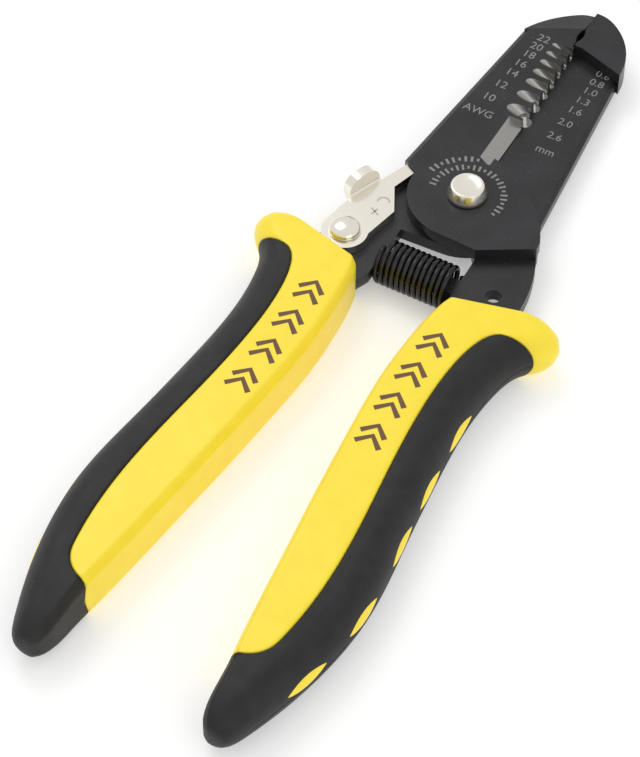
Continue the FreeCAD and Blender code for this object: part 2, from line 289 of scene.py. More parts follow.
class NodeTree:
    """Thin helper for adding nodes and links to a shader tree."""

    def __init__(self, tree: bpy.types.NodeTree) -> None:
        """Work on a tree."""
        self.tree = tree

    def node(self, kind: str, inputs: dict[str | int, object] | None = None,
             **settings: object) -> bpy.types.Node:
        """Add a node.

        Args:
            kind: node type name.
            inputs: sockets or plain values for its inputs, by name or number.
            settings: node properties.

        Returns:
            The new node.
        """
        made = self.tree.nodes.new(kind)
        for key, value in settings.items():
            setattr(made, key, value)
        for key, value in (inputs or {}).items():
            if isinstance(value, bpy.types.NodeSocket):
                self.tree.links.new(value, made.inputs[key])
            else:
                made.inputs[key].default_value = value
        return made

    def math(self, operation: str, first: object, second: object) -> bpy.types.NodeSocket:
        """Arithmetic of two sockets or numbers."""
        return self.node("ShaderNodeMath", {0: first, 1: second}, operation=operation).outputs[0]

    def between(self, value: object, low: float, high: float, to_low: float = 0.0,
                to_high: float = 1.0) -> bpy.types.NodeSocket:
        """Value carried from one range to another and clamped there."""
        return self.node("ShaderNodeMapRange", {"Value": value, "From Min": low, "From Max": high,
                                                "To Min": to_low, "To Max": to_high}).outputs[0]

    def blend_colour(self, share: object, first: object, second: object) -> bpy.types.NodeSocket:
        """Mix of two colours.

        Args:
            share: 0 for the first colour, 1 for the second.
            first: colour or colour socket.
            second: colour or colour socket.

        Returns:
            Socket of the mixed colour.
        """
        made = self.node("ShaderNodeMix", {"Factor": share}, data_type="RGBA")
        for key, value in ((6, first), (7, second)):
            if isinstance(value, bpy.types.NodeSocket):
                self.tree.links.new(value, made.inputs[key])
            else:
                made.inputs[key].default_value = (*value, 1.0)
        return made.outputs[2]


class ShaderGroup(NodeTree):
    """A shader node group that is built once and placed in several materials."""

    def __init__(self, name: str, inputs: dict[str, float], outputs: list[str]) -> None:
        """Make the empty group with a vector input named Place.

        Args:
            name: group name.
            inputs: names and default values of its number inputs.
            outputs: names of its number outputs.
        """
        super().__init__(bpy.data.node_groups.new(name, "ShaderNodeTree"))
        self.tree.interface.new_socket("Place", in_out="INPUT", socket_type="NodeSocketVector")
        for label, value in inputs.items():
            socket = self.tree.interface.new_socket(label, in_out="INPUT", socket_type="NodeSocketFloat")
            socket.default_value = value
        for label in outputs:
            self.tree.interface.new_socket(label, in_out="OUTPUT", socket_type="NodeSocketFloat")
        self.given = self.node("NodeGroupInput").outputs
        self.exit = self.node("NodeGroupOutput").inputs

    def give(self, label: str, value: bpy.types.NodeSocket) -> None:
        """Send a value to an output of the group."""
        self.tree.links.new(value, self.exit[label])

    def noise(self, place: object, scale: object, detail: float) -> bpy.types.NodeSocket:
        """Noise from 0 to 1 at a place."""
        return self.node("ShaderNodeTexNoise", {"Vector": place, "Scale": scale, "Detail": detail},
                         normalize=True).outputs[0]


class Effects:
    """The shader groups that the finishes share."""

    def __init__(self) -> None:
        """Build every group once."""
        self.grain = self.make_grain()
        self.brushing = self.make_brushing()
        self.handling = self.make_wear_and_sheen()

    @staticmethod
    def make_grain() -> bpy.types.NodeTree:
        """Moulded or blasted grain: fine noise for height, a coarser one that mottles the tone.

        Returns:
            The group's tree.
        """
        group = ShaderGroup("surface grain", {"Scale": 6000.0}, ["Height", "Mottle"])
        fine = group.noise(group.given["Place"], group.given["Scale"], 3.0)
        coarse = group.noise(group.given["Place"], group.math("MULTIPLY", group.given["Scale"], 0.12), 2.0)
        group.give("Height", fine)
        group.give("Mottle", group.between(coarse, 0.35, 0.65))
        return group.tree

    @staticmethod
    def make_brushing() -> bpy.types.NodeTree:
        """Grinding lines: noise squeezed along X, so that its streaks run across the blades.

        Returns:
            The group's tree.
        """
        group = ShaderGroup("grinding lines", {"Scale": 9000.0}, ["Lines"])
        squeezed = group.node("ShaderNodeVectorMath", {0: group.given["Place"], 1: (0.06, 1.0, 0.5)},
                              operation="MULTIPLY").outputs[0]
        group.give("Lines", group.noise(squeezed, group.given["Scale"], 2.0))
        return group.tree

    @staticmethod
    def make_wear_and_sheen() -> bpy.types.NodeTree:
        """Broad soft patches, and sparse fine specks at a finer noise's peaks: handling wear, and painted sheen
        where the black steel uses the patches.

        Returns:
            The group's tree.
        """
        group = ShaderGroup("handling marks", {"Scale": 90.0}, ["Patches", "Specks"])
        patches = group.noise(group.given["Place"], group.given["Scale"], 2.0)
        specks = group.noise(group.given["Place"], group.math("MULTIPLY", group.given["Scale"], 24.0), 2.0)
        group.give("Patches", group.between(patches, 0.35, 0.7))
        group.give("Specks", group.between(specks, 0.68, 0.76))
        return group.tree


class FinishedMaterial(NodeTree):
    """A material with a Principled shader and the shared effects read at the object's own place."""

    def __init__(self, name: str) -> None:
        """Make the material and its object coordinates."""
        self.material = bpy.data.materials.new(name)
        self.material.use_nodes = True
        super().__init__(self.material.node_tree)
        self.shader = self.tree.nodes["Principled BSDF"]
        self.place = self.node("ShaderNodeTexCoord").outputs["Object"]

    def effect(self, group: bpy.types.NodeTree, **inputs: float) -> bpy.types.Node:
        """Place a shared effect with its own values."""
        return self.node("ShaderNodeGroup", {"Place": self.place, **inputs}, node_tree=group)

    def bump(self, height: bpy.types.NodeSocket, depth: float, strength: float) -> None:
        """Feed a height to the shader's normal; depth in millimetres."""
        made = self.node("ShaderNodeBump", {"Height": height, "Distance": depth * MM, "Strength": strength})
        self.tree.links.new(made.outputs[0], self.shader.inputs["Normal"])

    def set(self, **values: object) -> None:
        """Set shader sockets: a plain value on the socket itself, a socket by a link.

        Args:
            values: values or sockets by shader input, with _ for a space in its name.
        """
        for key, value in values.items():
            socket = self.shader.inputs[key.replace("_", " ")]
            if isinstance(value, bpy.types.NodeSocket):
                self.tree.links.new(value, socket)
            else:
                socket.default_value = (*value, 1.0) if isinstance(value, tuple) else value


Colour = tuple[float, float, float]


@dataclass(frozen=True)
class Moulding:
    """Moulded plastic or rubber: a tone that mottles slightly, and a bumped grain."""

    name: str
    tone: Colour
    mottled: Colour
    roughness: float
    grain_scale: float
    grain_depth: float
    shine: float = 0.5

    def build(self, effects: Effects) -> bpy.types.Material:
        """Make the material.

        Args:
            effects: the shared shader groups.

        Returns:
            The material.
        """
        made = FinishedMaterial(self.name)
        grain = made.effect(effects.grain, Scale=self.grain_scale)
        marks = made.effect(effects.handling)
        rough = made.between(marks.outputs["Patches"], 0.0, 1.0, self.roughness - 0.05, self.roughness + 0.06)
        made.set(Base_Color=made.blend_colour(grain.outputs["Mottle"], self.tone, self.mottled),
                 Roughness=rough, Specular_IOR_Level=self.shine)
        made.bump(grain.outputs["Height"], self.grain_depth, 0.6)
        return made.material


@dataclass(frozen=True)
class Plating:
    """Plated metal: near-mirror tone with faint patches, specks and grinding lines."""

    name: str
    tone: Colour
    worn: Colour
    roughness: float

    def build(self, effects: Effects) -> bpy.types.Material:
        """Make the material.

        Args:
            effects: the shared shader groups.

        Returns:
            The material.
        """
        made = FinishedMaterial(self.name)
        marks = made.effect(effects.handling, Scale=160.0)
        lines = made.effect(effects.brushing, Scale=5000.0)
        wear = made.math("MAXIMUM", made.math("MULTIPLY", marks.outputs["Specks"], 0.4),
                         made.math("MULTIPLY", marks.outputs["Patches"], 0.35))
        made.set(Base_Color=made.blend_colour(wear, self.tone, self.worn), Metallic=1.0,
                 Roughness=made.between(wear, 0.0, 1.0, self.roughness, self.roughness + 0.14))
        made.bump(lines.outputs["Lines"], 0.0012, 0.4)
        return made.material


@dataclass(frozen=True)
class BlackSteel:
    """Black-oxide steel with bright ground edges, and painted sheen in soft random patches on the black.

    The ground mask is 1 on points that lie lower than the flat face by more than the
    step and short of the far face, within the blades' reach of the middle line and
    between the throat and the nose; those surfaces show bare steel with grinding lines.
    Each pair of depths is where a mask begins to change and where it ends.
    """

    name: str
    face: float
    facing: float
    tone: Colour = (0.027, 0.027, 0.029)
    # painted sheen: a lighter black that the soft patches mix in
    painted_sheen_tone: Colour = (0.038, 0.038, 0.041)
    ground: Colour = (0.46, 0.45, 0.43)
    roughness: float = 0.34
    reach: float = 6.4
    throat: float = 9.4
    nose: float = 44.0
    step: tuple[float, float] = (0.03, 0.06)
    far_face: tuple[float, float] = (2.49, 2.45)

    def build(self, effects: Effects, places: Places) -> bpy.types.Material:
        """Make the material; face is the flat face's height and facing its outward sign.

        Args:
            effects: the shared shader groups.
            places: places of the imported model.

        Returns:
            The material.
        """
        made = FinishedMaterial(self.name)
        shifted = made.node("ShaderNodeVectorMath", {0: made.place, 1: tuple(places.pivot)},
                            operation="SUBTRACT").outputs[0]
        from_pivot = made.node("ShaderNodeSeparateXYZ", {0: shifted}).outputs
        sunk = made.math("MULTIPLY", made.math("SUBTRACT", self.face * MM, from_pivot[2]), self.facing)
        deep = made.between(sunk, self.step[0] * MM, self.step[1] * MM)
        deep = made.math("MULTIPLY", deep, made.between(sunk, self.far_face[0] * MM, self.far_face[1] * MM))
        off_middle = made.math("ABSOLUTE", from_pivot[0], 0.0)
        near = made.between(off_middle, (self.reach + 0.1) * MM, self.reach * MM)
        above = made.between(from_pivot[1], self.throat * MM, (self.throat + 0.3) * MM)
        below = made.between(from_pivot[1], self.nose * MM, (self.nose - 0.2) * MM)
        mask = made.math("MULTIPLY", made.math("MULTIPLY", deep, near), made.math("MULTIPLY", above, below))
        marks = made.effect(effects.handling, Scale=110.0)
        grain = made.effect(effects.grain, Scale=9000.0)
        lines = made.effect(effects.brushing)
        # Painted sheen: the soft patches lighten the black in places; the specks next are bare steel showing
        # through wear.
        black = made.blend_colour(marks.outputs["Patches"], self.tone, self.painted_sheen_tone)
        black = made.blend_colour(made.math("MULTIPLY", marks.outputs["Specks"], 0.25), black, self.ground)
        shaded = tuple(0.6 * tone for tone in self.ground)
        bare = made.blend_colour(lines.outputs["Lines"], self.ground, shaded)
        made.set(Base_Color=made.blend_colour(mask, black, bare),
                 Metallic=made.between(mask, 0.0, 1.0, 0.55, 1.0),
                 Roughness=made.between(mask, 0.0, 1.0, self.roughness, 0.3))
        brushed = made.math("MULTIPLY", lines.outputs["Lines"], mask)
        height = made.math("ADD", brushed, grain.outputs["Height"])
        made.bump(height, 0.006, 0.6)
        return made.material


@dataclass(frozen=True)
class Print:
    """Flat print or laser mark with slightly uneven cover."""

    name: str
    tone: Colour
    faded: Colour
    roughness: float = 0.6

    def build(self, effects: Effects) -> bpy.types.Material:
        """Make the material.

        Args:
            effects: the shared shader groups.

        Returns:
            The material.
        """
        made = FinishedMaterial(self.name)
        grain = made.effect(effects.grain, Scale=7000.0)
        made.set(Base_Color=made.blend_colour(grain.outputs["Height"], self.tone, self.faded),
                 Roughness=self.roughness)
        return made.material


class Finishes:
    """Every finish of the tool, built once."""

    def __init__(self, places: Places) -> None:
        """Build the shared effects and the materials.

        Args:
            places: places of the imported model.
        """
        effects = Effects()
        face = places.front_face
        back = face - places.stack
        self.front_steel = BlackSteel("black steel, front half", face, 1.0).build(effects, places)
        self.back_steel = BlackSteel("black steel, back half", back, -1.0).build(effects, places)
        self.nickel = Plating("bright nickel", (0.9, 0.86, 0.77), (0.74, 0.7, 0.61), 0.17).build(effects)
        self.wire = Plating("black spring wire", (0.035, 0.034, 0.035), (0.08, 0.078, 0.075),
                            0.22).build(effects)
        self.yellow = Moulding("yellow handle", (0.98, 0.76, 0.03), (1.0, 0.79, 0.036), 0.38,
                               2600.0, 0.02).build(effects)
        self.rubber = Moulding("dark soft grip", (0.011, 0.0105, 0.0105), (0.016, 0.0152, 0.015), 0.52,
                               3400.0, 0.09, shine=0.35).build(effects)
        self.grey_mark = Print("laser-marked grey", (0.28, 0.275, 0.265), (0.2, 0.195, 0.19)).build(effects)
        self.engraving = Print("shallow engraving", (0.5, 0.47, 0.42), (0.4, 0.38, 0.34), 0.4).build(effects)
        self.brown_mark = Print("brown print", (0.13, 0.06, 0.03), (0.17, 0.085, 0.04)).build(effects)

    @staticmethod
    def dress(piece: bpy.types.Object, material: bpy.types.Material) -> None:
        """Give a piece one material throughout."""
        piece.data.materials.clear()
        piece.data.materials.append(material)


# ---------------------------------------------------------------- handles

@dataclass
class Handle:
    """A two-tone moulded handle, drawn for the right side and mirrored for the left.

    The handle is a section carried along its length. A section stands on the plan line
    from an inner wall point to the outermost point; it climbs the flat inner wall, a
    bevel and the flat top, and goes round the outer side in a full half circle. The
    lower half mirrors the upper one. Along a section, points are found by the distance
    from the middle of the inner wall.
    """

    side: Side
    body: Body
    places: Places
    finishes: Finishes
    thickness: float = 10.74
    middle: float = 0.05
    bevel_across: float = 1.0
    bevel_down: float = 1.6
    corner: float = 0.35
    grip_sink: float = 1.3
    grip_wall: float = 1.15
    seam: tuple[float, float, float] = (0.38, 0.12, 0.0)
    seam_reach: tuple[float, float] = (0.16, 0.42)
    parting_reach: tuple[float, float, float] = (0.0, 0.15, 0.45)
    parting_depth: tuple[float, float, float] = (0.13, 0.07, 0.0)
    front_rows: tuple[float, ...] = (0.0, 0.0, 0.05, 0.15, 0.35)
    front_sink: tuple[float, ...] = (0.36, 0.36, 0.14, 0.04, 0.0)
    front_end: float = 0.55
    front_shrink: float = 0.96
    tip_reach: tuple[float, ...] = (0.95, 0.65, 0.35, 0.12, 0.03)
    tip_shrink: tuple[float, ...] = (0.995, 0.96, 0.86, 0.66, 0.35)
    window_length: float = 9.2
    window_height: float = 2.4
    window_up: float = 1.0
    window_crown: float = 0.16
    window_root: float = 0.9
    window_set: float = 0.03
    windows: tuple[float, ...] = (-48.4, -61.5, -74.0, -89.5, -104.5)
    stations: tuple[tuple[float, ...], ...] = (
        (9.0, -25.5, 26.8, -21.0, 1.0), (8.7, -26.2, 29.2, -21.5, 1.0), (8.4, -27.0, 30.3, -23.2, 1.0),
        (8.2, -28.0, 30.1, -25.3, 1.0), (7.9, -29.6, 28.1, -27.6, 1.0), (7.6, -31.6, 26.3, -30.0, 1.0),
        (7.2, -36.0, 24.7, -35.2, 1.0), (6.9, -44.5, 23.9, -44.5, 1.0), (7.7, -57.0, 24.7, -57.5, 1.0),
        (9.2, -72.0, 26.4, -72.5, 1.0), (10.9, -86.5, 27.9, -87.0, 1.0), (12.4, -99.0, 26.9, -99.5, 1.0),
        (13.2, -105.0, 25.5, -106.0, 0.995), (13.9, -110.0, 23.9, -111.5, 0.96),
        (14.2, -114.5, 22.4, -115.8, 0.88), (14.6, -117.8, 21.2, -118.8, 0.74),
        (15.4, -119.9, 20.1, -120.4, 0.56), (16.4, -120.9, 19.0, -121.1, 0.42))
    grip_line: tuple[tuple[float, float], ...] = (
        (22.9, -28.3), (21.2, -28.7), (19.8, -29.8), (18.7, -31.8), (17.3, -38.0), (17.0, -49.0),
        (18.1, -62.5), (19.9, -78.0), (20.5, -90.0), (19.6, -101.5), (18.9, -104.2), (16.9, -106.6), (14.2, -107.7),
        (11.4, -107.95), (7.0, -108.2))

    def __post_init__(self) -> None:
        """Fit the smooth curves along the handle."""
        table = np.array(self.stations)
        steps = (np.linalg.norm(np.diff(table[:, :2], axis=0), axis=1)
                 + np.linalg.norm(np.diff(table[:, 2:4], axis=0), axis=1)) / 2
        knots = np.concatenate([[0.0], np.cumsum(steps)])
        self.length = float(knots[-1])
        self.curve = smooth_curve(knots, table)
        line = np.array(self.grip_line)
        run = np.concatenate([[0.0], np.cumsum(np.linalg.norm(np.diff(line, axis=0), axis=1))])
        self.crossing = self.cross_line(line, run)
        along = np.linspace(0, self.length, 1500)
        self.start = float(self.crossing[0, 0])
        self.end = float(along[(along > self.length / 2) & (self.line_reach(along) < 0.02)][0])

    def cross_line(self, line: np.ndarray, run: np.ndarray) -> np.ndarray:
        """Where the plan line of the grip crosses the sections.

        For each of many points of the smooth line, the signed distance to the plan
        line of every section is worked out; the section where it changes sign is the
        one that the point lies on, and the point's reach is measured along it.

        Args:
            line: plan points of the line.
            run: distance of each along the line.

        Returns:
            Rows of distance along the handle and reach across it.
        """
        point = smooth_curve(run, line)(np.linspace(0, run[-1], 500))
        along = np.linspace(0, self.length, 2500)
        at = self.section(along)
        gap = point[:, None] - at["inner"][None]
        side = gap[..., 0] * at["across"][None, :, 1] - gap[..., 1] * at["across"][None, :, 0]
        nearest = np.argmin(np.abs(side), axis=1)
        reach = np.einsum("ij,ij->i", point - at["inner"][nearest], at["across"][nearest])
        order = np.argsort(along[nearest], kind="stable")
        return np.stack([along[nearest], reach], axis=-1)[order]

    def section(self, along: np.ndarray) -> dict[str, np.ndarray]:
        """Sizes of the sections at distances along the handle.

        Args:
            along: distances along the handle.

        Returns:
            Arrays by name, one row a distance: plan points and directions have two
            columns, sizes have one.
        """
        found = self.curve(along)
        inner, outer, share = found[:, :2], found[:, 2:4], found[:, 4:]
        width = np.linalg.norm(outer - inner, axis=1, keepdims=True)
        half = share * self.thickness / 2
        flat = width - np.minimum(half, width * 0.8)
        slope = np.minimum(self.bevel_across, flat * 0.6)
        drop = np.minimum(self.bevel_down, half * 0.4)
        wall = half - drop
        bevel = np.hypot(slope, drop)
        round_length = np.pi / 2 * np.sqrt(((width - flat)**2 + half**2) / 2)
        total = wall + bevel + flat - slope + round_length
        return {"inner": inner, "across": (outer - inner) / width, "width": width, "half": half,
                "flat": flat, "slope": slope, "drop": drop, "wall": wall, "bevel": bevel,
                "round": round_length, "total": total}

    @staticmethod
    def sharp_outline(s: np.ndarray, at: dict[str, np.ndarray]) -> np.ndarray:
        """Points on the sharp-cornered section.

        Args:
            s: distances along the section, rows by columns.
            at: sizes of the sections.

        Returns:
            Distances across and up, rows by columns by 2.
        """
        on_bevel = np.clip((s - at["wall"]) / at["bevel"], 0, 1)
        on_flat = np.clip(s - at["wall"] - at["bevel"], 0, at["flat"] - at["slope"])
        turn = np.maximum(s - (at["total"] - at["round"]), 0) / at["round"] * np.pi / 2
        across = on_bevel * at["slope"] + on_flat + (at["width"] - at["flat"]) * np.sin(turn)
        climb = np.minimum(s, at["wall"]) + on_bevel * at["drop"]
        up = np.where(turn > 0, at["half"] * np.cos(turn), climb)
        return np.stack([across, up], axis=-1)

    def outline(self, s: np.ndarray, at: dict[str, np.ndarray]) -> np.ndarray:
        """The sharp outline averaged over a short reach, which rounds its corners."""
        shifts = np.linspace(-self.corner, self.corner, 7)
        return sum(self.sharp_outline(s + shift, at) for shift in shifts) / len(shifts)

    def surface(self, along: np.ndarray, s: np.ndarray, sink: np.ndarray, low: bool = False) -> np.ndarray:
        """Points on the handle's skin, sunk along the section's normal.

        Args:
            along: distance along the handle, one value a row.
            s: distance along the section, rows by columns.
            sink: depth under the skin, rows by columns.
            low: whether to mirror to the lower half.

        Returns:
            Points in metres in the scene, rows by columns by 3.
        """
        at = self.section(along)
        point = self.outline(s, at)
        tangent = self.outline(s + 0.02, at) - self.outline(s - 0.02, at)
        tangent /= np.linalg.norm(tangent, axis=-1, keepdims=True)
        point = point - np.stack([-tangent[..., 1], tangent[..., 0]], axis=-1) * sink[..., None]
        plan = at["inner"][:, None] + at["across"][:, None] * point[..., :1]
        height = self.middle + point[..., 1:] * (-1 if low else 1)
        points = np.concatenate([plan, height], axis=-1)
        return self.places.put(points * np.array([self.side.value, 1, 1]))

    def line_reach(self, along: np.ndarray) -> np.ndarray:
        """Distance along the section at which the soft grip begins.

        On the flat top and the bevel it follows the plan line's reach. Past the inner
        wall the distance runs down the wall to its middle.

        Args:
            along: distances along the handle.

        Returns:
            Distances along the section.
        """
        at = self.section(along)
        reach = np.interp(along, self.crossing[:, 0], self.crossing[:, 1])
        wall, bevel, slope = at["wall"][:, 0], at["bevel"][:, 0], at["slope"][:, 0]
        on_top = wall + bevel + reach - slope
        on_bevel = wall + bevel * reach / slope
        on_wall = wall * np.clip(1 + reach / 4.0, 0, 1)
        return np.where(reach > slope, on_top, np.where(reach > 0, on_bevel, on_wall))

    def rows(self, start: float, end: float) -> np.ndarray:
        """Distances along the handle: close together at the seam's ends, else a millimetre apart.

        Args:
            start: first distance.
            end: last distance.

        Returns:
            Rising distances.
        """
        wide = np.arange(start, end, 1.0)
        front = self.start + np.array([-0.42, -0.16, 0.0, 0.01, 0.17, 0.43, 0.7, 1.1, 1.6, 2.2, 3.0])
        tail = self.end - np.arange(0, 7, 0.3)
        every = np.unique(np.round(np.concatenate([[start], wide, front, tail, [end]]), 3))
        return every[(every >= start) & (every <= end)]

    def upper_and_lower(self, along: np.ndarray, s: np.ndarray, sink: np.ndarray) -> np.ndarray:
        """Closed loop of columns: the upper half, then the lower half back to the inner wall.

        Args:
            along: distance along the handle, one value a row.
            s: distance along the section, rows by columns.
            sink: depth under the skin, rows by columns.

        Returns:
            Points in metres in the scene.
        """
        upper = self.surface(along, s, sink)
        lower = self.surface(along, s, sink, low=True)
        return np.concatenate([upper, lower[:, -2:0:-1]], axis=1)

    def core_columns(self, line: np.ndarray, at: dict[str, np.ndarray]) -> np.ndarray:
        """Distances along the section for the core: its own skin, the seam, and under the grip.

        Args:
            line: distance at which the grip begins, one value a row.
            at: sizes of the sections.

        Returns:
            Distances along the section, rows by columns.
        """
        wall, bevel = at["wall"], at["bevel"]
        corner = self.corner * np.array([[-1, -0.5, 0, 0.5, 1]])
        own = np.concatenate([wall * np.linspace(0, 0.9, 5), wall + corner, wall + bevel + corner], axis=1)
        rest = np.maximum(line - self.seam_reach[1] - own[:, -1:], 0)
        own = np.concatenate([own, own[:, -1:] + rest * np.linspace(0.06, 1, 14)], axis=1)
        share = np.linspace(0, 1, own.shape[1])[None]
        own = np.minimum(own, np.maximum(line - self.seam_reach[1], 0.004) * (1 - (1 - share)**3))
        seam = line + np.array([[-self.seam_reach[0], 0.0, 0.01]])
        under = line + 0.01 + (at["total"] - line - 0.01) * np.linspace(0, 1, 25)[None, 1:]
        return np.concatenate([own, seam, under], axis=1)

    def core(self) -> bpy.types.Object:
        """Hard core: full size up to the seam, sunk under the grip, closed at both ends.

        Returns:
            The core, dressed.
        """
        along = self.rows(0.0, self.end - 0.05)
        at = self.section(along)
        line = np.maximum(self.line_reach(np.maximum(along, self.start))[:, None], 0.5)
        s = self.core_columns(line, at)
        ramp = [0, self.seam[1], self.seam[0], self.grip_sink]
        reach = [-self.seam_reach[1], -self.seam_reach[0], 0.0, 0.01]
        by_row = np.interp(along - self.start, reach, ramp)[:, None]
        by_column = np.interp(s - line, reach, ramp)
        sink = np.minimum(by_row, by_column)
        keep = along > self.front_end
        every = np.concatenate([self.front_rows, along[keep]])
        s = np.concatenate([np.repeat(s[:1], len(self.front_rows), axis=0), s[keep]])
        front_sink = np.repeat(np.array(self.front_sink)[:, None], s.shape[1], axis=1)
        sink = np.concatenate([front_sink, sink[keep]])
        points = self.upper_and_lower(every, s, sink)
        rows, columns = points.shape[:2]
        middle = points[0].mean(axis=0)
        points[0] = middle + (points[0] - middle) * self.front_shrink
        flat = points.reshape(-1, 3)
        hubs = np.stack([points[0].mean(axis=0), points[-1].mean(axis=0)])
        rim = np.arange(columns)
        faces = np.concatenate([grid_faces(rows, columns, True), fan_faces(rim[::-1], len(flat)),
                                fan_faces(rim + (rows - 1) * columns, len(flat) + 1)])
        piece = new_piece(self.name("core_skin"), np.concatenate([flat, hubs]), faces, self.body)
        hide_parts(self.node("core"))
        Finishes.dress(piece, self.finishes.yellow)
        return piece

    def grip(self) -> bpy.types.Object:
        """Soft grip: a skin from the upper seam round the outer side to the lower seam.

        It is given a wall inwards. The last rows shrink towards their middle to round
        the tip, and the wall thins out towards it.

        Returns:
            The grip, dressed.
        """
        shrinking = self.length - np.array(self.tip_reach)
        along = np.concatenate([self.rows(self.start, self.length - 1.2), shrinking])
        at = self.section(along)
        line = self.line_reach(along)[:, None]
        line[along > self.end] = 0.0
        span = at["total"] - line
        near = np.array([[0.0, self.seam_reach[0], self.seam_reach[1]]])
        far = span - np.array([self.parting_reach[::-1]])
        between = near[:, -1:] + (far[:, :1] - near[:, -1:]) * np.linspace(0, 1, 46)[None, 1:-1]
        s = line + np.concatenate([np.repeat(near, len(along), axis=0), between, far], axis=1)
        lip = np.interp(s - line, [0, *self.seam_reach], self.seam)
        lip *= np.clip(line / 1.5, 0, 1)
        front = np.interp(along - self.start, [0, *self.seam_reach], self.seam)[:, None]
        parting = np.interp(at["total"] - s, self.parting_reach, self.parting_depth)
        parting *= np.clip((self.length - along - 3.0) / 6.0, 0, 1)[:, None]
        sink = np.maximum(np.maximum(lip, front), parting)
        upper = self.surface(along, s, sink)
        lower = self.surface(along, s, sink, low=True)
        points = np.concatenate([upper, lower[:, -2::-1]], axis=1)
        rows, columns = points.shape[:2]
        tip = points[-len(self.tip_shrink):]
        middle = tip.mean(axis=1, keepdims=True)
        points[-len(self.tip_shrink):] = middle + (tip - middle) * np.array(self.tip_shrink)[:, None, None]
        hub = middle[-1]
        flat = points.reshape(-1, 3)
        last = np.arange(columns - 1) + (rows - 1) * columns
        faces = np.concatenate([grid_faces(rows, columns, False), fan_faces(last, len(flat))])
        piece = new_piece(self.name("grip_skin"), np.concatenate([flat, hub]), faces, self.body)
        depth = piece.vertex_groups.new(name="wall depth")
        for row, share in enumerate(np.clip((self.length - along - 1.0) / 8.0, 0.03, 1.0)):
            depth.add(list(range(row * columns, (row + 1) * columns)), float(share), "REPLACE")
        depth.add([rows * columns], 0.03, "REPLACE")
        self.merge_doubles(piece)
        wall = piece.modifiers.new("grip wall", "SOLIDIFY")
        wall.vertex_group = depth.name
        wall.thickness = self.grip_wall * MM
        wall.offset = -1
        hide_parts(self.node("grip"))
        Finishes.dress(piece, self.finishes.rubber)
        return piece

    @staticmethod
    def merge_doubles(piece: bpy.types.Object) -> None:
        """Merge points that lie on each other, at the tail's seams and the windows' corners.

        Args:
            piece: object whose mesh is cleaned.
        """
        work = bmesh.new()
        work.from_mesh(piece.data)
        bmesh.ops.remove_doubles(work, verts=work.verts, dist=0.001 * MM)
        bmesh.ops.dissolve_degenerate(work, edges=work.edges, dist=0.0005 * MM)
        work.to_mesh(piece.data)
        work.free()
        piece.data.shade_smooth()

    def window(self, number: int, middle: float) -> bpy.types.Object:
        """Leaf-shaped window of the core that shows through the outer side.

        Over a square from -1 to 1 each way, the leaf's length follows the first
        parameter and its half height is one less the first parameter's square. The
        crown stands a hair over the grip, and the same outline sinks below it to close
        the piece.

        Args:
            number: the window's number, from the front.
            middle: its middle along Y in millimetres from the pivot.

        Returns:
            The window, dressed.
        """
        a = np.linspace(-1, 1, 33)
        b = np.linspace(-1, 1, 15)
        along_y = middle + a * self.window_length / 2
        dense = np.linspace(0, self.length, 1500)
        along = np.interp(-along_y, -self.curve(dense)[:, 3], dense)
        at = self.section(along)
        height = self.window_up + b[None] * (1 - a[:, None]**2) * self.window_height / 2
        crown = (1 - b[None]**2) * (1 - a[:, None]**4)
        layers = []
        for depth in (self.window_crown, -self.window_root):
            raised = depth * crown - self.window_set
            across = at["flat"] + (at["width"] - at["flat"]) * np.sqrt(1 - (height / at["half"])**2)
            plan = at["inner"][:, None] + at["across"][:, None] * (across + raised)[..., None]
            layers.append(np.concatenate([plan, self.middle + height[..., None]], axis=-1))
        loop = np.concatenate([layers[0], layers[1][:, -2:0:-1]], axis=1) * np.array([self.side.value, 1, 1])
        rows, columns = loop.shape[:2]
        faces = grid_faces(rows, columns, True)
        piece = new_piece(self.name(f"window_{number}"), self.places.put(loop), faces, self.body)
        self.merge_doubles(piece)
        Finishes.dress(piece, self.finishes.yellow)
        return piece

    def name(self, piece: str) -> str:
        """Name of one of this handle's pieces."""
        return f"{self.side.name.lower()}_{piece}"

    def node(self, part: str) -> str:
        """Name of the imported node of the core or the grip."""
        return f"{self.side.name.lower()}_handle_{part}"

    def build(self) -> list[bpy.types.Object]:
        """Build and dress the core, the grip and the windows."""
        windows = [self.window(number + 1, middle) for number, middle in enumerate(self.windows)]
        return [self.core(), self.grip(), *windows]


# ---------------------------------------------------------------- steel and fittings

